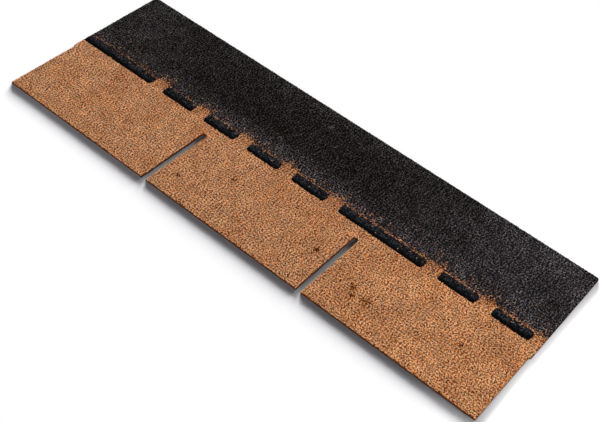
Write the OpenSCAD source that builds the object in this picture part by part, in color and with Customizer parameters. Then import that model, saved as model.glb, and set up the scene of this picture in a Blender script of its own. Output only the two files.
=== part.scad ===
// Three-tab asphalt shingle: a strip of bitumen-coated glass mat with mineral granules pressed into
// its upper face. Slots part its lower half into tabs, and a broken line of sealant runs above them.
// Millimetres. X runs along the strip, Y from the tab edge to the headlap edge, Z up from the floor.
// The origin is the middle of the underside, where the strip lies flat.

/* [Strip] */
// Length of the strip, end to end
strip_length = 1000; // [700:1:1200]
// Depth of the strip, from the tab edge to the headlap edge
strip_depth = 340; // [260:1:420]
// Thickness of the bitumen-coated mat
mat_thickness = 2.4; // [1.5:0.1:4]
// Radius of the two headlap corners
corner_radius = 4; // [1:0.5:12]

/* [Tabs] */
// Number of equal tabs along the strip
tab_count = 3; // [2:1:5]
// Width of a slot between two tabs
slot_width = 10; // [6:0.5:16]
// Length of a slot, from the tab edge to the top of its round end
slot_length = 140; // [100:1:170]
// Cut-back of the strip's two ends beside the outer tabs, where a slot was trimmed through
end_notch = 3; // [1:0.5:5]

/* [Granules] */
// Thickness of the granule surfacing
granule_thickness = 1.1; // [0.5:0.1:2]
// Band of tab colour between the sealant and the headlap colour
colour_margin = 5; // [2:0.5:20]

/* [Sealant] */
// Space between the top of a slot and the sealant line
sealant_gap = 21; // [5:0.5:40]
// Width of a dash, across the strip
dash_width = 20; // [8:0.5:26]
// Length of a single dash
dash_length = 71.5; // [40:0.5:90]
// Space between two dashes
dash_gap = 29.5; // [10:0.5:40]
// Space between the strip's left end and the first dash
dash_inset = 0.5; // [0.5:0.5:20]
// Places from one double dash to the next, where two dashes run together
double_every = 6; // [3:1:8]
// Corner radius of a dash
dash_corner = 5; // [1:0.25:6]
// Height of a dash along its middle
dash_height = 1.2; // [0.8:0.1:2]
// Height of a dash along its two long edges
dash_rim = 0.5; // [0.2:0.1:0.7]

/* [Hidden] */
$fn = 96;
over = 1;

surface_z = mat_thickness + granule_thickness;
tab_width = (strip_length - 2 * end_notch - (tab_count - 1) * slot_width) / tab_count;
tab_pitch = tab_width + slot_width;

// Slot centre lines: the first and last lie outside the strip, so only a notch of them is cut.
first_slot = end_notch - slot_width / 2;
slots = [for (i = [0 : tab_count]) first_slot + i * tab_pitch];

dash_y = slot_length + sealant_gap;
colour_y = dash_y + dash_width + colour_margin;

// Dashes as [start, length]: every double_every places, one dash runs through to the next.
dash_pitch = dash_length + dash_gap;
places = floor((strip_length - dash_inset + dash_gap) / dash_pitch);
function joins_next(k) = k % double_every == 0 && k + 1 < places;
function joins_last(k) = k > 0 && joins_next(k - 1);
dashes = [for (k = [0 : places - 1]) if (!joins_last(k))
    [dash_inset + k * dash_pitch, joins_next(k) ? dash_pitch + dash_length : dash_length]];

// Rectangle with its corner at the origin and its four corners rounded
module rounded_rect(size, r) {
    translate([r, 0]) square([size.x - 2 * r, size.y]);
    translate([0, r]) square([size.x, size.y - 2 * r]);
    for (x = [r, size.x - r], y = [r, size.y - r]) translate([x, y]) circle(r);
}

// Slot that opens at the tab edge and ends in a half circle
module slot() {
    round_y = slot_length - slot_width / 2;
    translate([-slot_width / 2, -over]) square([slot_width, round_y + over]);
    translate([0, round_y]) circle(d = slot_width);
}

// The strip's cut outline: square tab corners, round headlap corners, slots and end notches
module strip_outline() {
    difference() {
        union() {
            square([strip_length, strip_depth - corner_radius]);
            rounded_rect([strip_length, strip_depth], corner_radius);
        }
        for (x = slots) translate([x, 0]) slot();
    }
}

// A stretch of the granule surfacing, cut with the strip, between two depths
module surfacing(y0, y1) {
    translate([0, 0, mat_thickness]) linear_extrude(granule_thickness) intersection() {
        strip_outline();
        translate([-over, y0]) square([strip_length + 2 * over, y1 - y0]);
    }
}

// One sealant dash: a flat bead with a crowned top, higher along its middle than at its edges
module bead(length) {
    crown = dash_height - dash_rim;
    crown_r = (dash_width * dash_width / 4 + crown * crown) / (2 * crown);
    intersection() {
        linear_extrude(dash_height + over) rounded_rect([length, dash_width], dash_corner);
        translate([-over, dash_width / 2, dash_height - crown_r]) rotate([0, 90, 0])
            cylinder(r = crown_r, h = length + 2 * over, $fn = 256);
    }
}

// Moves a shape from the strip's lower left corner to the part's frame
module framed() {
    translate([-strip_length / 2, -strip_depth / 2, 0]) children();
}

module mat() {
    color([0.07, 0.065, 0.06]) framed() linear_extrude(mat_thickness) strip_outline();
}

module tab_granules() {
    color([0.66, 0.45, 0.31]) framed() surfacing(-over, colour_y);
}

module headlap_granules() {
    color([0.15, 0.14, 0.14]) framed() surfacing(colour_y, strip_depth + over);
}

module sealant_dash(dash) {
    color([0.05, 0.05, 0.055]) framed() translate([dash[0], dash_y, surface_z]) bead(dash[1]);
}

mat();
tab_granules();
headlap_granules();
for (i = [1 : len(dashes)])
    sealant_dash(dashes[i - 1]);
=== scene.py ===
"""Dresses a three-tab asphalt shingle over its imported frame.

The bitumen mat keeps its solid shape and gets a tar finish. Crushed mineral granules, each a closed
chip, stand in for the two plain surfacing sheets, and soft beads of sealant for the plain dashes.
Metres throughout: X runs along the strip, Y from the tab edge to the headlap edge, Z up.
"""

import logging
import math
from dataclasses import dataclass, field
from enum import Enum
from typing import Any, Iterable, Mapping, Sequence

import bpy
import numpy as np
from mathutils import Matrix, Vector, noise

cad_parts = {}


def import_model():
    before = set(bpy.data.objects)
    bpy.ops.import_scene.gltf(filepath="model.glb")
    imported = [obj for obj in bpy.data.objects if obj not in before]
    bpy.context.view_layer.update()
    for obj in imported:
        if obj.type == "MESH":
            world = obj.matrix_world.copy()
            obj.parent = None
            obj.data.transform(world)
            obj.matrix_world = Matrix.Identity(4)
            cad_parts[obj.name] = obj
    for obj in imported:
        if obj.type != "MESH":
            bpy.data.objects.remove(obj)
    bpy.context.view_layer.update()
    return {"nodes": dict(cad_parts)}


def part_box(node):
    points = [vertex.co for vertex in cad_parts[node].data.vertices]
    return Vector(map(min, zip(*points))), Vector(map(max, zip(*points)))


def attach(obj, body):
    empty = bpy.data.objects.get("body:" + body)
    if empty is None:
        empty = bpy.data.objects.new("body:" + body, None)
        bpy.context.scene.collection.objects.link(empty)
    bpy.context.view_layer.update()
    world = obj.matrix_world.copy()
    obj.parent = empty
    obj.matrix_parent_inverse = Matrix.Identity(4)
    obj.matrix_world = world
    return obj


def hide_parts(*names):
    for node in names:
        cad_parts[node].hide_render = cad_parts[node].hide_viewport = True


LOG = logging.getLogger("shingle")

Colour = tuple[float, float, float]
Point = tuple[float, float, float]
Stops = tuple[tuple[float, Colour], ...]

WHITE: Colour = (1, 1, 1)
TOUCH = 1e-6


def srgb(red: int, green: int, blue: int) -> Colour:
    """Turns an eight-bit display colour into a linear one.

    Args:
        red: Red from 0 to 255.
        green: Green from 0 to 255.
        blue: Blue from 0 to 255.

    Returns:
        The colour as linear red, green and blue.
    """

    def linear(part: int) -> float:
        """Undoes the display curve of one channel."""
        share = part / 255
        return share / 12.92 if share <= 0.04045 else ((share + 0.055) / 1.055) ** 2.4

    return linear(red), linear(green), linear(blue)


def deselect_all() -> None:
    """Leaves no object selected, so that the next operator acts on its own piece only."""
    bpy.ops.object.select_all(action="DESELECT")


class Value:
    """A number that changes over a surface. Arithmetic on it adds Math nodes."""

    def __init__(self, graph: "Graph", socket: bpy.types.NodeSocket) -> None:
        """Wraps an output socket of a graph."""
        self.graph = graph
        self.socket = socket

    def _math(self, operation: str, first: Any, second: Any) -> "Value":
        """Adds one Math node.

        Args:
            operation: The node's operation.
            first: The first number or value.
            second: The second number or value.

        Returns:
            The node's result.
        """
        made = self.graph.node("ShaderNodeMath", {"operation": operation}, {0: first, 1: second})
        return Value(self.graph, made.outputs[0])

    def __add__(self, other: Any) -> "Value":
        """Adds."""
        return self._math("ADD", self, other)

    def __radd__(self, other: Any) -> "Value":
        """Adds from the right."""
        return self._math("ADD", other, self)

    def __sub__(self, other: Any) -> "Value":
        """Subtracts."""
        return self._math("SUBTRACT", self, other)

    def __rsub__(self, other: Any) -> "Value":
        """Subtracts from a number."""
        return self._math("SUBTRACT", other, self)

    def __mul__(self, other: Any) -> "Value":
        """Multiplies."""
        return self._math("MULTIPLY", self, other)

    def __rmul__(self, other: Any) -> "Value":
        """Multiplies from the right."""
        return self._math("MULTIPLY", other, self)

    def __lt__(self, other: Any) -> "Value":
        """Gives 1 where the value is less than the other, else 0."""
        return self._math("LESS_THAN", self, other)

    def most(self, other: Any) -> "Value":
        """Gives the larger of this and another."""
        return self._math("MAXIMUM", self, other)


class Graph:
    """A node tree, with the patterns and blends that the finishes are made of."""

    def __init__(self, tree: bpy.types.NodeTree) -> None:
        """Starts from an emptied tree."""
        self.tree = tree
        self.tree.nodes.clear()

    def node(
        self,
        kind: str,
        settings: Mapping[str, Any] | None = None,
        inputs: Mapping[str | int, Any] | None = None,
    ) -> bpy.types.Node:
        """Adds one node.

        Args:
            kind: The node's type.
            settings: Its properties, set first. "stops" holds a colour ramp's stops.
            inputs: Numbers, colours, values or sockets for its inputs, by name or index.

        Returns:
            The new node.
        """
        made = self.tree.nodes.new(kind)
        for key, setting in (settings or {}).items():
            if key == "stops":
                self._stops(made.color_ramp, setting)
            else:
                setattr(made, key, setting)
        for key, given in (inputs or {}).items():
            self.feed(made.inputs[key], given)
        return made

    def feed(self, socket: bpy.types.NodeSocket, given: Any) -> None:
        """Links a value or a socket to an input, or sets a plain number or colour on it.

        Args:
            socket: The input.
            given: The value, socket, number or colour.
        """
        if isinstance(given, Value):
            self.tree.links.new(given.socket, socket)
        elif isinstance(given, bpy.types.NodeSocket):
            self.tree.links.new(given, socket)
        elif isinstance(given, tuple) and len(given) == 3 and socket.type == "RGBA":
            socket.default_value = (*given, 1)
        else:
            socket.default_value = given

    @staticmethod
    def _stops(ramp: bpy.types.ColorRamp, stops: Stops) -> None:
        """Writes a colour ramp's stops.

        Args:
            ramp: The ramp.
            stops: A place from 0 to 1 and a colour for each stop.
        """
        while len(ramp.elements) < len(stops):
            ramp.elements.new(1)
        for element, (place, colour) in zip(ramp.elements, stops):
            element.position = place
            element.color = (*colour, 1)

    def place(self) -> bpy.types.NodeSocket:
        """Gives the surface's own coordinates."""
        return self.node("ShaderNodeTexCoord").outputs["Object"]

    def axis(self, name: str) -> Value:
        """Gives one of the surface's coordinates, X, Y or Z, in metres."""
        parts = self.node("ShaderNodeSeparateXYZ", None, {0: self.place()})
        return Value(self, parts.outputs[name])

    def noise(self, scale: float, detail: float = 2, roughness: float = 0.5) -> Value:
        """Adds a noise pattern.

        Args:
            scale: Cells a metre.
            detail: Octaves.
            roughness: Strength of the finer octaves.

        Returns:
            The pattern, about 0.5 on average.
        """
        made = self.node(
            "ShaderNodeTexNoise",
            None,
            {"Vector": self.place(), "Scale": scale, "Detail": detail, "Roughness": roughness},
        )
        return Value(self, made.outputs[0])

    def span(self, value: Value, low: float, high: float, to_low: float, to_high: float) -> Value:
        """Maps a value smoothly from one range to another.

        Args:
            value: The value to map.
            low: Its low end.
            high: Its high end.
            to_low: What the low end becomes.
            to_high: What the high end becomes.

        Returns:
            The mapped value, held inside its new range.
        """
        made = self.node(
            "ShaderNodeMapRange",
            {"interpolation_type": "SMOOTHSTEP"},
            {0: value, 1: low, 2: high, 3: to_low, 4: to_high},
        )
        return Value(self, made.outputs[0])

    def ramp(self, value: Value, stops: Stops) -> bpy.types.NodeSocket:
        """Turns a value into a colour through a ramp's stops."""
        made = self.node("ShaderNodeValToRGB", {"stops": stops}, {"Fac": value})
        return made.outputs["Color"]

    def blend(self, how: str, share: Any, first: Any, second: Any) -> bpy.types.NodeSocket:
        """Blends two colours.

        Args:
            how: The blend, such as MIX or MULTIPLY.
            share: How much of the second colour shows.
            first: The first colour.
            second: The second colour.

        Returns:
            The blended colour.
        """
        made = self.node(
            "ShaderNodeMix",
            {"data_type": "RGBA", "blend_type": how},
            {0: share, 6: first, 7: second},
        )
        return made.outputs[2]

    def cells(self, scale: float) -> Value:
        """Adds a pattern of small cells.

        Args:
            scale: Cells a metre.

        Returns:
            A random number from 0 to 1 for each cell.
        """
        made = self.node("ShaderNodeTexVoronoi", None, {"Vector": self.place(), "Scale": scale})
        parts = self.node("ShaderNodeSeparateColor", None, {0: made.outputs["Color"]})
        return Value(self, parts.outputs[0])

    def grey(self, value: Value) -> bpy.types.NodeSocket:
        """Turns a value into a grey of that brightness."""
        made = self.node("ShaderNodeCombineColor", None, {0: value, 1: value, 2: value})
        return made.outputs[0]


class Coat(Graph):
    """The graph of one material, with a Principled shader at its end."""

    def __init__(self, name: str) -> None:
        """Starts a material with its shader and output alone.

        Args:
            name: The material's name.
        """
        self.material = bpy.data.materials.new(name)
        self.material.use_nodes = True
        super().__init__(self.material.node_tree)
        self.shader = self.node("ShaderNodeBsdfPrincipled")
        self.node("ShaderNodeOutputMaterial", None, {"Surface": self.shader.outputs["BSDF"]})

    def bump(self, height: Value, depth: float, strength: float) -> None:
        """Raises the surface by a height pattern.

        Args:
            height: The pattern.
            depth: Its depth in metres.
            strength: How much of it shows, from 0 to 1.
        """
        made = self.node(
            "ShaderNodeBump", None, {"Height": height, "Distance": depth, "Strength": strength}
        )
        self.feed(self.shader.inputs["Normal"], made.outputs[0])

    def finish(self, **inputs: Any) -> bpy.types.Material:
        """Sets the shader's inputs.

        Args:
            **inputs: What each input gets, by its name with _ for a space.

        Returns:
            The finished material.
        """
        for key, given in inputs.items():
            self.feed(self.shader.inputs[key.replace("_", " ")], given)
        return self.material


@dataclass(frozen=True)
class GranuleFinish:
    """Crushed mineral granules of one blend, each chip with a tone of its own."""

    name: str
    stops: Stops
    patch: Colour
    patch_share: float
    patch_scale: float
    bleach: Colour
    roughness: float
    specular: float
    dust: Colour = (0, 0, 0)

    def worn(self, graph: Graph) -> Value:
        """Gives where the chips are bleached: a little, in drifts towards the right end."""
        along = graph.span(graph.axis("X"), 0.0, 0.5, 0.1, 1)
        return along * graph.span(graph.noise(11, 2), 0.3, 0.7, 0.4, 1)

    def material(self) -> bpy.types.Material:
        """Builds the material: chip tones on a ramp, drifting in broad patches and bleached spots.

        Returns:
            The material.
        """
        graph = Coat(self.name)
        tone = Value(
            graph,
            graph.node("ShaderNodeAttribute", {"attribute_name": "grain"}).outputs["Fac"],
        )
        stone = graph.ramp(tone, self.stops)
        broad = graph.span(graph.noise(self.patch_scale, 3), 0.4, 0.66, 0, self.patch_share)
        stone = graph.blend("MULTIPLY", broad, stone, self.patch)
        light = graph.span(graph.noise(self.patch_scale * 4.3, 2), 0.3, 0.7, 0.88, 1.1)
        stone = graph.blend("MULTIPLY", 1.0, stone, graph.grey(light))
        bleached = graph.blend("MULTIPLY", 1.0, stone, self.bleach)
        bleached = graph.blend("ADD", 1.0, bleached, self.dust)
        stone = graph.blend("MIX", self.worn(graph), stone, bleached)
        return graph.finish(
            Base_Color=stone,
            Roughness=graph.span(tone, 0, 1, self.roughness - 0.08, self.roughness + 0.08),
            Specular_IOR_Level=self.specular,
        )


@dataclass(frozen=True)
class HeadlapFinish(GranuleFinish):
    """Charcoal granules, greyed by dust along the rim of the headlap and at its right end."""

    back_edge: float = 0.17
    colour_line: float = 0.016

    def worn(self, graph: Graph) -> Value:
        """Gives where dust greys the chips.

        Args:
            graph: The material's graph.

        Returns:
            The share of dust: full at the right end, less along the other edges.
        """
        right = graph.span(graph.axis("X"), 0.06, 0.5, 0, 1)
        left = graph.span(graph.axis("X"), -0.5, -0.25, 0.4, 0)
        back = graph.span(graph.axis("Y"), self.back_edge - 0.05, self.back_edge, 0, 0.25)
        line = graph.span(graph.axis("Y"), self.colour_line, self.colour_line + 0.05, 0.85, 0)
        line = line * graph.span(graph.axis("X"), -0.5, 0.1, 0.4, 1)
        drift = graph.span(graph.noise(16, 3), 0.3, 0.7, 0.5, 1.2)
        return right.most(left).most(back).most(line) * drift


@dataclass(frozen=True)
class TarFinish:
    """Black bitumen of the mat, sanded underneath, with orange fines between the tab granules."""

    name: str = "bitumen"
    tar: Colour = srgb(30, 26, 24)
    fibre: Colour = srgb(92, 80, 70)
    fines: Colour = srgb(165, 78, 28)
    fines_end: float = 0.016
    # painted light: the colour of the right end's cut face below the colour line, as if lit from
    # the right
    painted_end_light: Colour = srgb(158, 112, 82)
    painted_end_start: float = 0.4955
    sand: Colour = srgb(78, 74, 70)
    top: float = 0.0024
    skin: float = 0.0002

    def material(self) -> bpy.types.Material:
        """Builds the material: tar with brown fibre flecks, and pale sand on the underside.

        Returns:
            The material.
        """
        graph = Coat(self.name)
        flecks = graph.span(graph.noise(900, 3, 0.7), 0.52, 0.72, 0, 0.7)
        tar = graph.blend("MIX", flecks, self.tar, self.fibre)
        tabs = graph.span(graph.axis("Y"), self.fines_end - 0.004, self.fines_end, 0.85, 0)
        upper = graph.span(graph.axis("Z"), self.top - self.skin, self.top, 0.25, 1)
        strewn = graph.span(graph.noise(500), 0.3, 0.6, 0.4, 1)
        tar = graph.blend("MIX", tabs * upper * strewn, tar, self.fines)
        # Painted light: the tab part of the right end's cut face turns light tan, as if lit from
        # the right.
        painted_end_share = graph.span(graph.axis("X"), self.painted_end_start, self.painted_end_start + 0.001, 0, 0.85)
        tar = graph.blend("MIX", painted_end_share * tabs, tar, self.painted_end_light)
        under = graph.axis("Z") < self.skin
        grit = graph.noise(1500, 2, 0.6)
        speck = graph.span(grit, 0.5, 0.68, 0, 1) * under
        drift = graph.span(graph.noise(18, 3), 0.3, 0.7, 0.35, 0.8)
        colour = graph.blend("MIX", speck * drift, tar, self.sand)
        graph.bump(grit, 0.0004, 0.8)
        return graph.finish(
            Base_Color=colour,
            Roughness=graph.span(grit, 0.3, 0.7, 0.7, 0.95),
            Specular_IOR_Level=0.08,
        )


@dataclass(frozen=True)
class SealantFinish:
    """Soft black sealant, with a painted sheen along the beads' crest, a little blue against the
    brown tar.
    """

    middle: float
    name: str = "sealant"
    deep: Colour = srgb(1, 1, 1)
    # skin: the colour of the painted sheen
    skin: Colour = srgb(54, 56, 62)
    crest: float = 0.003
    reach: float = 0.008

    def material(self) -> bpy.types.Material:
        """Builds the material: tar black, with a painted blue-grey sheen along the beads' crest,
        set a little towards the back.

        Returns:
            The material.
        """
        graph = Coat(self.name)
        # Painted sheen: the skin colour in a band a little behind each bead's middle stands in for
        # the back light's reflection.
        off = graph.axis("Y") - (self.middle + self.crest)
        painted_sheen = graph.span(off * off, 0.0, self.reach**2, 1, 0.05)
        cloud = graph.noise(160, 3, 0.6)
        pits = graph.noise(420, 2, 0.6)
        speck = graph.span(graph.cells(480), 0.45, 1, 0.03, 1)
        colour = graph.blend("MIX", painted_sheen * speck, self.deep, self.skin)
        graph.bump(cloud * 0.7 + pits * 0.3, 0.0004, 0.4)
        return graph.finish(
            Base_Color=colour,
            Roughness=graph.span(pits, 0.3, 0.7, 0.45, 0.65),
            Specular_IOR_Level=0.01,
        )


@dataclass(frozen=True)
class FloorFinish:
    """Plain white studio floor."""

    name: str = "studio floor"
    paint: Colour = (0.83, 0.83, 0.83)

    def material(self) -> bpy.types.Material:
        """Builds the matt white material."""
        return Coat(self.name).finish(
            Base_Color=self.paint, Roughness=1.0, Specular_IOR_Level=0.0
        )


TAB_FINISH = GranuleFinish(
    name="tab granules",
    stops=(
        (0.0, srgb(52, 4, 0)),
        (0.24, srgb(104, 36, 2)),
        (0.38, srgb(200, 114, 52)),
        (0.58, srgb(248, 178, 116)),
        (1.0, srgb(255, 217, 178)),
    ),
    patch=(0.86, 0.74, 0.66),
    patch_share=0.6,
    patch_scale=13,
    bleach=(1.3, 1.28, 1.18),
    roughness=0.85,
    specular=0.1,
)
HEADLAP_FINISH = HeadlapFinish(
    name="headlap granules",
    stops=(
        (0.0, srgb(0, 0, 0)),
        (0.45, srgb(1, 1, 1)),
        (0.66, srgb(16, 13, 12)),
        (0.82, srgb(68, 62, 60)),
        (1.0, srgb(109, 102, 100)),
    ),
    patch=(0.7, 0.68, 0.67),
    patch_share=0.7,
    patch_scale=9,
    bleach=(2.8, 2.9, 3.2),
    roughness=0.8,
    specular=0.015,
    dust=(0.01, 0.0095, 0.0105),
)


class Blend(Enum):
    """The two granule blends, named for the surfacing node that each stands for."""

    TAB = "tab_granules"
    HEADLAP = "headlap_granules"


@dataclass
class Outline:
    """The strip's cut outline: a rectangle with slots, end notches and round headlap corners."""

    low: Vector
    high: Vector
    tab_count: int = 3
    slot_width: float = 0.010
    slot_length: float = 0.140
    end_notch: float = 0.003
    corner: float = 0.004

    def slots(self) -> list[float]:
        """Finds the slots' centre lines.

        Returns:
            Their places along the strip, with the two that the ends trim off.
        """
        first = self.low.x + self.end_notch - self.slot_width / 2
        last = self.high.x - self.end_notch + self.slot_width / 2
        return [first + (last - first) * i / self.tab_count for i in range(self.tab_count + 1)]

    def depth_inside(self, x: np.ndarray, y: np.ndarray) -> np.ndarray:
        """Measures how far points lie inside the cut edge.

        Args:
            x: Their places along the strip.
            y: Their places across it.

        Returns:
            Their distances from the nearest edge, negative outside.
        """
        depth = np.minimum.reduce(
            [x - self.low.x, self.high.x - x, y - self.low.y, self.high.y - y]
        )
        over_x = np.maximum(self.low.x + self.corner - x, x - self.high.x + self.corner)
        over_y = y - self.high.y + self.corner
        in_corner = (over_x > 0) & (over_y > 0)
        depth = np.where(in_corner, self.corner - np.hypot(over_x, over_y), depth)
        round_y = self.low.y + self.slot_length - self.slot_width / 2
        for slot in self.slots():
            gap = np.hypot(x - slot, np.maximum(y - round_y, 0)) - self.slot_width / 2
            depth = np.minimum(depth, gap)
        return depth


@dataclass(frozen=True)
class Dash:
    """One dash of sealant: its box in the frame, and the puffed shape of its bead."""

    low: Vector
    high: Vector
    corner: float = 0.0055
    flank: float = 0.0055
    lip: float = 0.0001

    def rise(self, x: np.ndarray, y: np.ndarray) -> np.ndarray:
        """Gives the bead's height over the granules.

        Args:
            x: Places along the strip.
            y: Places across it.

        Returns:
            The height at each place, zero outside the bead.
        """
        middle, half = (self.low + self.high) / 2, (self.high - self.low) / 2
        over_x = np.abs(x - middle.x) - (half.x - self.corner)
        over_y = np.abs(y - middle.y) - (half.y - self.corner)
        depth = self.corner - np.hypot(np.maximum(over_x, 0), np.maximum(over_y, 0))
        depth = depth - np.minimum(np.maximum(over_x, over_y), 0)
        bow = 1 - (1 - np.clip(depth / self.flank, 0, 1)) ** 2
        top = self.lip + (self.high.z - self.low.z - self.lip) * np.sqrt(bow)
        return np.where(depth > -TOUCH, top, 0)


@dataclass(frozen=True)
class Smudge:
    """A stain or rubbed mark among the granules: its place, its reach and how it shifts their tone.
    """

    x: float
    y: float
    reach: float
    shift: float


STAINS = (
    Smudge(0.136, -0.091, 0.005, -0.6),
    Smudge(0.225, -0.109, 0.006, -0.5),
    Smudge(0.233, -0.122, 0.004, -0.55),
    Smudge(0.256, -0.117, 0.010, -0.3),
    Smudge(0.410, -0.083, 0.004, -0.5),
    Smudge(-0.059, -0.073, 0.004, -0.5),
    Smudge(-0.132, -0.127, 0.004, -0.45),
    Smudge(-0.380, -0.032, 0.014, -0.2),
    Smudge(-0.025, 0.133, 0.004, 0.7),
    Smudge(-0.072, 0.053, 0.003, 0.6),
    Smudge(0.011, 0.102, 0.003, 0.5),
)


@dataclass(frozen=True)
class Chip:
    """A granule's shape: a skewed splinter, flat side up and point down, leaning and pressed in.

    Lengths are in metres and angles in radians. The corners reach out by a share of the size, and
    the point reaches down by a share of the surfacing's thickness.
    """

    size: float = 0.00125
    size_spread: float = 0.12
    corner_reach: tuple[float, float] = (0.8, 1.2)
    corner_spread: float = 0.2
    tip_reach: tuple[float, float] = (1.15, 1.5)
    root: float = 0.0008
    lean: float = math.radians(4)
    steepest: float = 0.25
    proud: float = 0.0002
    sink: float = 0.00015
    deepest: float = 0.0004

    def corners(
        self,
        rng: np.random.Generator,
        places: np.ndarray,
        lift: np.ndarray,
        mat_top: float,
        surface: float,
    ) -> np.ndarray:
        """Shapes a chip at each place.

        Args:
            rng: The seeded source of chance.
            places: The chips' places along and across the strip.
            lift: How far each is raised by what it lies on.
            mat_top: The height of the mat's upper face.
            surface: The height of the surfacing's upper face.

        Returns:
            Four corners for each chip, the upper three first.
        """
        count = len(places)
        turn = rng.uniform(0, 2 * math.pi, (count, 1))
        spread = rng.normal(0, self.corner_spread, (count, 3))
        angle = turn + np.radians([0, 120, 240]) + spread
        size = self.size * np.exp(rng.normal(0, self.size_spread, (count, 1)))
        radius = size * rng.uniform(*self.corner_reach, (count, 3))
        along, across = radius * np.cos(angle), radius * np.sin(angle)
        lean = rng.normal(0, self.lean, (count, 2, 1))
        slope = np.tan(np.clip(lean, -self.steepest, self.steepest))
        up = along * slope[:, 0] + across * slope[:, 1]
        sink = np.minimum(np.abs(rng.normal(0, self.sink, (count, 1))), self.deepest)
        crest = surface + self.proud - sink + lift[:, None]
        up = up - up.max(axis=1, keepdims=True) + crest
        tip = up.mean(axis=1) - rng.uniform(*self.tip_reach, count) * (surface - mat_top)
        tip = np.maximum(tip, mat_top - self.root)
        x, y = places[:, :1], places[:, 1:]
        flat = np.stack([along + x, across + y, up], axis=2)
        point = np.column_stack([places, tip])[:, None]
        return np.concatenate([flat, point], axis=1)


@dataclass(frozen=True)
class Fray:
    """How the tab blend ends: a ragged line, a tail of strays, and a fringe along the beads.

    Heights and reaches are in metres, waves and ripples are counted to the metre, a slope is the
    gain for each metre along the strip, and the rest are chances.
    """

    drop: float = 0.001
    waves: float = 60
    wave_row: float = 3.1
    wave_height: float = 0.0025
    ripples: float = 240
    ripple_row: float = 9.7
    ripple_height: float = 0.0015
    steps: int = 700
    softness: float = 0.0016
    thinned: float = 0.14
    thinned_below: float = 0.008
    thinned_reach: float = 0.012
    tail: float = 0.42
    tail_reach: float = 0.0065
    fringe: float = 0.24
    fringe_wave: float = 0.16
    fringe_slope: float = 0.2
    fringe_reach: float = 0.004
    strays: float = 0.12
    strays_slope: float = 0.14
    strays_reach: float = 0.01
    bead_end: float = 0.001
    bead_depth: float = 0.012
    below_bead: float = 0.99

    def wander(self, x: np.ndarray, pitch: float, row: float) -> np.ndarray:
        """Gives a smooth random curve along the strip.

        Args:
            x: Places along the strip.
            pitch: The curve's waves to the metre.
            row: Which of the many curves is taken.

        Returns:
            The curve's height at each place, from -1 to 1.
        """
        grid = np.linspace(x.min(), x.max(), self.steps)
        return np.interp(x, grid, [noise.noise(Vector((pitch * g, row, 0))) for g in grid])

    def tab_share(
        self, x: np.ndarray, y: np.ndarray, colour_line: float, dashes: Sequence[Dash]
    ) -> np.ndarray:
        """Gives the chance that a chip is of the tab blend.

        Below the colour line nearly all are. Above it the blend frays out, raggedly, and over a
        bead it starts to fray straight from the bead's upper edge.

        Args:
            x: The chips' places along the strip.
            y: Their places across it.
            colour_line: Where the two blends meet.
            dashes: The sealant's dashes.

        Returns:
            The chance for each chip.
        """
        wave = self.wander(x, self.waves, self.wave_row)
        ripple = self.wander(x, self.ripples, self.ripple_row)
        over_dash = np.zeros(len(x), dtype=bool)
        for dash in dashes:
            over_dash |= (x > dash.low.x - self.bead_end) & (x < dash.high.x + self.bead_end)
        line = colour_line - self.drop + self.wave_height * wave + self.ripple_height * ripple
        edge = 1 / (1 + np.exp((y - line) / self.softness))
        sparse = np.exp(-(((y - line + self.thinned_below) / self.thinned_reach) ** 2))
        edge = edge * (1 - self.thinned * sparse)
        tail = self.tail * np.exp(-np.maximum(y - line, 0) / self.tail_reach)
        bead_top = dashes[0].high.y
        off = np.maximum(y - bead_top, 0)
        fringe = self.fringe + self.fringe_wave * wave + self.fringe_slope * x
        strays = self.strays + self.strays_slope * x
        frayed = fringe * np.exp(-((off / self.fringe_reach) ** 2))
        frayed = frayed + strays * np.exp(-off / self.strays_reach)
        above = np.where(over_dash, frayed, np.maximum(edge, tail))
        return np.where(over_dash & (y < bead_top - self.bead_depth), self.below_bead, above)


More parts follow.
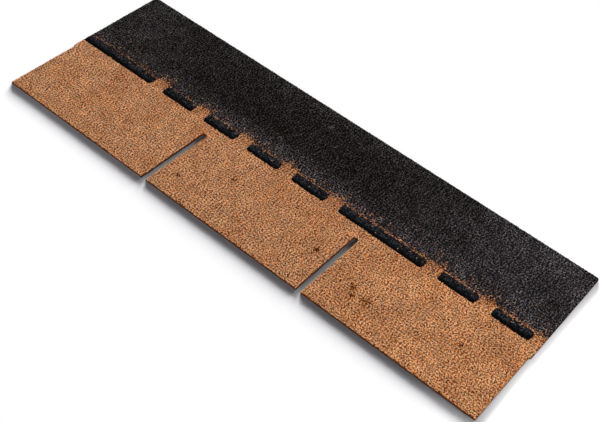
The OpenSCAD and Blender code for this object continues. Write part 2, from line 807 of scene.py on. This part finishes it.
@dataclass
class GranuleBed:
    """The granules pressed into the mat: one angular chip each, in two colour blends."""

    outline: Outline
    colour_line: float
    mat_top: float
    surface: float
    dashes: Sequence[Dash]
    stains: Sequence[Smudge] = STAINS
    chip: Chip = Chip()
    fray: Fray = Fray()
    spacing: float = 0.00127
    shake: float = 0.28
    overhang: float = 0.0006
    bare_rise: float = 0.0005
    strewn: float = 0.4
    strewn_reach: float = 0.003
    strewn_lift: float = 0.9
    # Painted shade: how much tab chips darken in a band centred below the colour line, its offset
    # and its reach.
    painted_shade: float = 0.1
    painted_shade_below: float = 0.009
    painted_shade_reach: float = 0.012
    stray_shade: float = 0.16
    plan_inset: float = 0.6
    plan_margin: float = 0.002
    seed: int = 11
    pieces: list[bpy.types.Object] = field(default_factory=list)

    def build(self) -> None:
        """Scatters the chips, sorts them into the two blends and makes the meshes."""
        rng = np.random.default_rng(self.seed)
        x, y, tone = self._places(rng)
        share = self.fray.tab_share(x, y, self.colour_line, self.dashes)
        tab = rng.random(len(x)) < share
        # Strays of the tab blend are darker, and painted shade darkens tab chips in a band just
        # below the colour line.
        band = np.exp(-(((y - self.colour_line + self.painted_shade_below) / self.painted_shade_reach) ** 2))
        shade = (1 - self.stray_shade * (1 - share**3)) * (1 - self.painted_shade * band)
        tone = np.where(tab, tone * shade, tone)
        for stain in self.stains:
            near = np.exp(-((x - stain.x) ** 2 + (y - stain.y) ** 2) / stain.reach**2)
            tone = np.clip(tone + stain.shift * near, 0, 1)
        lift = self.strewn_lift * sum(dash.rise(x, y) for dash in self.dashes)
        corners = self.chip.corners(rng, np.stack([x, y], axis=1), lift, self.mat_top, self.surface)
        slots = self.outline.slots()
        thirds = {
            "left": (-math.inf, slots[1]),
            "middle": (slots[1], slots[2]),
            "right": (slots[2], math.inf),
        }
        for blend, chosen in ((Blend.TAB, tab), (Blend.HEADLAP, ~tab)):
            for third, (start, end) in thirds.items():
                picked = chosen & (x >= start) & (x < end)
                self._piece(f"{blend.value}_{third}", blend, corners[picked], tone[picked])

    def dress(self, finishes: Mapping[Blend, GranuleFinish]) -> None:
        """Gives each piece its blend's finish.

        Args:
            finishes: The finish of each blend.
        """
        made = {blend: finish.material() for blend, finish in finishes.items()}
        for piece in self.pieces:
            blend = Blend.TAB if piece.name.startswith(Blend.TAB.value) else Blend.HEADLAP
            piece.data.materials.append(made[blend])

    def _places(
        self, rng: np.random.Generator
    ) -> tuple[np.ndarray, np.ndarray, np.ndarray]:
        """Picks the chips' places: a shaken honeycomb inside the cut edge.

        The beads are bare of chips, but for some that stick along their upper side.

        Args:
            rng: The seeded source of chance.

        Returns:
            The places along and across the strip, and a tone from 0 to 1 for each chip.
        """
        low, high = self.outline.low, self.outline.high
        rows = np.arange(low.y, high.y, self.spacing * math.sqrt(3) / 2)
        columns = np.arange(low.x, high.x, self.spacing)
        x, y = np.meshgrid(columns, rows)
        x = x + (np.arange(len(rows)) % 2)[:, None] * self.spacing / 2
        x = x + rng.normal(0, self.shake * self.spacing, x.shape)
        y = y + rng.normal(0, self.shake * self.spacing, y.shape)
        tone = self._well_mixed(rng.random(x.shape))
        keep = self.outline.depth_inside(x, y) > self.chip.size - self.overhang
        chance = rng.random(x.shape)
        for dash in self.dashes:
            stuck = chance < self.strewn * np.exp((y - dash.high.y) / self.strewn_reach)
            keep &= stuck | (dash.rise(x, y) < self.bare_rise)
        return x[keep], y[keep], tone[keep]

    @staticmethod
    def _well_mixed(tone: np.ndarray) -> np.ndarray:
        """Spreads tones evenly over a grid, so that like chips seldom lie together.

        Args:
            tone: A tone for each place of the grid.

        Returns:
            Tones evenly spread from 0 to 1.
        """
        for reach in (3, 3, 3, 2):
            steps = range(-reach, reach + 1)
            across = sum(np.roll(tone, step, 0) for step in steps) / len(steps)
            around = sum(np.roll(across, step, 1) for step in steps) / len(steps)
            rank = np.argsort(np.argsort((tone - around).ravel()))
            tone = (rank / rank.size).reshape(tone.shape)
        return tone

    def _piece(
        self, name: str, blend: Blend, corners: np.ndarray, tone: np.ndarray
    ) -> None:
        """Joins chips into one mesh, with each chip's tone and a plan of its own for baking.

        Args:
            name: The piece's name.
            blend: The chips' blend.
            corners: Four corners for each chip.
            tone: A tone from 0 to 1 for each chip.
        """
        count, each = corners.shape[:2]
        faces = np.array([(0, 1, 2), (0, 3, 1), (1, 3, 2), (2, 3, 0)])
        loops = (np.arange(count)[:, None, None] * each + faces[None]).ravel().astype(np.int32)
        mesh = bpy.data.meshes.new(name)
        mesh.vertices.add(count * each)
        mesh.vertices.foreach_set("co", corners.astype(np.float32).ravel())
        mesh.loops.add(len(loops))
        mesh.loops.foreach_set("vertex_index", loops)
        mesh.polygons.add(count * len(faces))
        mesh.polygons.foreach_set("loop_start", np.arange(0, len(loops), 3, dtype=np.int32))
        mesh.update(calc_edges=True)
        mesh.attributes.new("grain", "FLOAT", "POINT").data.foreach_set(
            "value", np.repeat(tone, each).astype(np.float32)
        )
        middle = corners.mean(axis=1, keepdims=True)
        plan = (middle + (corners - middle) * self.plan_inset)[:, :, :2].reshape(-1, 2)
        low, high = plan.min(axis=0), plan.max(axis=0)
        plan = self.plan_margin + (1 - 2 * self.plan_margin) * (plan - low) / (high - low)
        mesh.uv_layers.new(name="OFBake").data.foreach_set(
            "uv", plan[loops].astype(np.float32).ravel()
        )
        mesh.validate()
        piece = bpy.data.objects.new(name, mesh)
        bpy.context.scene.collection.objects.link(piece)
        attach(piece, "root")
        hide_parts(blend.value)
        self.pieces.append(piece)
        LOG.info("%s: %d chips, %d triangles", name, count, count * len(faces))


@dataclass
class SealantLine:
    """The broken line of sealant: a soft, crowned bead for each dash."""

    dashes: Mapping[str, Dash]
    step: float = 0.0021
    rows: int = 14
    skirt: float = 0.0009
    end_crowding: float = 0.65
    side_crowding: float = 0.9
    edge_wander: float = 0.0007
    lumps: float = 0.12
    crease: float = 50
    pieces: list[bpy.types.Object] = field(default_factory=list)

    def build(self) -> None:
        """Models a bead for each dash of the frame."""
        for index, (node, dash) in enumerate(self.dashes.items(), start=1):
            self._bead(f"sealant_bead_{index}", node, dash)

    def dress(self, finish: SealantFinish) -> None:
        """Gives every bead its finish.

        Args:
            finish: The sealant's finish.
        """
        material = finish.material()
        for piece in self.pieces:
            piece.data.materials.append(material)

    def _bead(self, name: str, node: str, dash: Dash) -> None:
        """Models one bead: a grid of the dash's size, extruded down and then rounded.

        Args:
            name: The bead's name.
            node: The frame's node that it stands for.
            dash: The dash's shape.
        """
        size = dash.high - dash.low
        deselect_all()
        bpy.ops.mesh.primitive_grid_add(
            x_subdivisions=max(2, round(size.x / self.step)),
            y_subdivisions=self.rows,
            size=1,
            location=(0, 0, 0),
        )
        piece = bpy.context.object
        piece.name = piece.data.name = name
        bpy.ops.object.mode_set(mode="EDIT")
        bpy.ops.mesh.select_all(action="SELECT")
        bpy.ops.transform.resize(value=(size.x, size.y, 1))
        bpy.ops.mesh.extrude_region_move(
            TRANSFORM_OT_translate={"value": (0, 0, -self.skirt)}
        )
        bpy.ops.mesh.select_all(action="SELECT")
        bpy.ops.mesh.normals_make_consistent(inside=False)
        bpy.ops.object.mode_set(mode="OBJECT")
        self._shape(piece.data, dash)
        deselect_all()
        piece.select_set(True)
        bpy.context.view_layer.objects.active = piece
        bpy.ops.object.shade_smooth_by_angle(angle=math.radians(self.crease))
        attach(piece, "root")
        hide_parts(node)
        self.pieces.append(piece)
        LOG.info("%s: %d faces", name, len(piece.data.polygons))

    def _shape(self, mesh: bpy.types.Mesh, dash: Dash) -> None:
        """Rounds a bead's corners and shoulders, and lets its edge and skin wander a little.

        Args:
            mesh: The bead's mesh, about the origin, its upper side at zero height.
            dash: The dash's shape.
        """
        middle, half = (dash.low + dash.high) / 2, (dash.high - dash.low) / 2
        for vertex in mesh.vertices:
            spot = vertex.co
            x = half.x * self._crowd(spot.x / half.x, self.end_crowding)
            over = max(abs(x) - half.x + dash.corner, 0)
            wide = half.y - dash.corner + math.sqrt(max(dash.corner**2 - over**2, 0))
            y = wide * self._crowd(spot.y / half.y, self.side_crowding)
            place = Vector((x, y, 0)) + middle
            rise = float(dash.rise(place.x, place.y))
            lump = noise.noise(Vector((place.x * 110, place.y * 160, 1)))
            wander = noise.noise(Vector((place.x * 130, place.y * 40, 5)))
            place.y += self.edge_wander * wander * abs(y / half.y) ** 3
            upper = spot.z > -TOUCH
            place.z = dash.low.z + (rise * (0.94 + self.lumps * lump) if upper else -self.skirt)
            vertex.co = place

    @staticmethod
    def _crowd(share: float, amount: float) -> float:
        """Draws places from -1 to 1 towards both ends, by an amount from 0 to 1."""
        return (1 - amount) * share + amount * math.sin(share * math.pi / 2)


@dataclass
class Mat:
    """The bitumen mat: the frame's own solid, with a better finish."""

    node: bpy.types.Object

    def dress(self, finish: TarFinish) -> None:
        """Puts the tar finish on the solid.

        Args:
            finish: The mat's finish.
        """
        material = finish.material()
        slots = self.node.data.materials
        if slots:
            slots[0] = material
        else:
            slots.append(material)
        LOG.info("%s: dressed", self.node.name)


class Lit(Enum):
    """What a lamp lights."""

    SHINGLE = "lit shingle"
    FLOOR = "lit floor"


@dataclass(frozen=True)
class Softbox:
    """A softbox: its place, its width and height, its power in watts and the point it faces."""

    name: str
    lit: Lit
    place: Point
    size: tuple[float, float]
    power: float
    aim: Point = (0, 0, 0)

    def lamp(self) -> bpy.types.Object:
        """Makes the lamp.

        Returns:
            The lamp, turned to the point that it faces.
        """
        light = bpy.data.lights.new(self.name, "AREA")
        light.shape = "RECTANGLE"
        light.size, light.size_y = self.size
        light.energy = self.power
        lamp = bpy.data.objects.new(self.name, light)
        lamp.location = self.place
        facing = Vector(self.aim) - Vector(self.place)
        lamp.rotation_euler = facing.to_track_quat("-Z", "Y").to_euler()
        lamp.visible_camera = False
        return lamp


@dataclass(frozen=True)
class Sun:
    """A low lamp far off, which draws the strip's long soft shadow on the floor.

    Its side is the angle to the left of straight behind, its rise the angle over the horizon and
    its width the angle that sets the shadow's softness, all in degrees.
    """

    name: str
    side: float
    rise: float
    width: float
    strength: float
    colour: Colour = WHITE
    lit: Lit = Lit.FLOOR

    def lamp(self) -> bpy.types.Object:
        """Makes the lamp.

        Returns:
            The lamp, turned to shine from its side.
        """
        light = bpy.data.lights.new(self.name, "SUN")
        light.angle = math.radians(self.width)
        light.energy = self.strength
        light.color = self.colour
        lamp = bpy.data.objects.new(self.name, light)
        lamp.rotation_euler = (math.radians(90 - self.rise), 0, math.radians(180 + self.side))
        return lamp


LAMPS: tuple[Softbox | Sun, ...] = (
    Softbox("overhead", Lit.SHINGLE, (0.1, 0.2, 2.6), (2.6, 2.6), 53),
    Softbox("back key", Lit.SHINGLE, (-0.8, 2.0, 1.35), (1.1, 1.1), 44),
    Softbox("front fill", Lit.SHINGLE, (1.2, -1.9, 1.9), (1.8, 1.8), 16),
    Softbox("end fill", Lit.FLOOR, (0.61, 0.0, 0.05), (0.34, 0.04), 0.42),
    Softbox("end glow", Lit.FLOOR, (0.42, 0.0, 0.06), (0.3, 0.05), 0.05, aim=(0.6, 0, 0)),
    Softbox("tab glow", Lit.FLOOR, (-0.42, -0.42, 0.22), (0.2, 0.2), 0.1, aim=(-0.36, -0.19, 0)),
    Sun("back sun", side=4, rise=6.5, width=9, strength=4.35),
    Sun("quarter sun", side=33, rise=7.6, width=11, strength=13.7),
    Sun("side sun", side=48, rise=7.2, width=12, strength=7.85),
    Sun("high sun", side=40, rise=15, width=12, strength=1.1, colour=(0.95, 0.92, 1)),
    Sun("front sun", side=-135, rise=14, width=16, strength=1.05, colour=(0.94, 0.9, 1)),
)


@dataclass
class Studio:
    """Floor, soft light and camera."""

    eye: Point = (0.7465, -0.8805, 1.2191)
    turn: Point = (40.992, -5.66, 38.581)
    lens: float = 60.408
    sensor: float = 36
    shift: tuple[float, float] = (-0.14, 0.02)
    floor_size: float = 60
    surround: float = 0.016

    def build(self, pieces: Iterable[bpy.types.Object]) -> None:
        """Sets up the studio round the shingle.

        Args:
            pieces: The shingle's own objects, for the lamps that light it.
        """
        floor = self._floor()
        self._world()
        receivers = {lit: bpy.data.collections.new(lit.value) for lit in Lit}
        for piece in pieces:
            receivers[Lit.SHINGLE].objects.link(piece)
        receivers[Lit.FLOOR].objects.link(floor)
        for kind in LAMPS:
            lamp = kind.lamp()
            lamp.light_linking.receiver_collection = receivers[kind.lit]
            bpy.context.scene.collection.objects.link(lamp)
        self._camera()

    def _floor(self) -> bpy.types.Object:
        """Adds the floor that the strip lies on.

        Returns:
            The floor.
        """
        deselect_all()
        bpy.ops.mesh.primitive_plane_add(size=self.floor_size, location=(0, 0, 0))
        floor = bpy.context.object
        floor.name = "studio_floor"
        floor.data.materials.append(FloorFinish().material())
        return floor

    def _world(self) -> None:
        """Makes a white surround, which lights the shingle only a little."""
        world = bpy.data.worlds.new("studio")
        bpy.context.scene.world = world
        world.use_nodes = True
        graph = Graph(world.node_tree)
        rays = graph.node("ShaderNodeLightPath").outputs
        seen = Value(graph, rays["Is Camera Ray"])
        for ray in ("Is Glossy Ray", "Is Transmission Ray"):
            seen = seen.most(rays[ray])
        strength = graph.span(seen, 0, 1, self.surround, 1)
        surround = graph.node("ShaderNodeBackground", None, {"Color": WHITE, "Strength": strength})
        graph.node("ShaderNodeOutputWorld", None, {"Surface": surround.outputs[0]})

    def _camera(self) -> None:
        """Sets the camera at the photograph's place and angle."""
        data = bpy.data.cameras.new("photo")
        data.sensor_width = self.sensor
        data.lens = self.lens
        data.shift_x, data.shift_y = self.shift
        data.clip_end = 100
        camera = bpy.data.objects.new("photo", data)
        camera.location = self.eye
        camera.rotation_euler = [math.radians(a) for a in self.turn]
        bpy.context.scene.collection.objects.link(camera)
        bpy.context.scene.camera = camera


def main() -> None:
    """Loads the frame and dresses the shingle piece by piece."""
    logging.basicConfig(level=logging.INFO, format="%(name)s: %(message)s")
    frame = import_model()
    bpy.context.scene.view_settings.view_transform = "Standard"

    nodes = frame["nodes"]
    dash_names = sorted(name for name in nodes if name.startswith("sealant_dash_"))
    low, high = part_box("mat")
    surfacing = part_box("headlap_granules")
    dashes = {name: Dash(*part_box(name)) for name in dash_names}

    mat = Mat(nodes["mat"])
    mat.dress(TarFinish())

    bed = GranuleBed(
        outline=Outline(low, high),
        colour_line=surfacing[0].y,
        mat_top=high.z,
        surface=surfacing[1].z,
        dashes=list(dashes.values()),
    )
    bed.build()
    bed.dress({Blend.TAB: TAB_FINISH, Blend.HEADLAP: HEADLAP_FINISH})

    sealant = SealantLine(dashes)
    sealant.build()
    first = dashes[dash_names[0]]
    sealant.dress(SealantFinish(middle=(first.low.y + first.high.y) / 2))

    Studio().build([mat.node, *bed.pieces, *sealant.pieces])


if __name__ == "__main__":
    main()
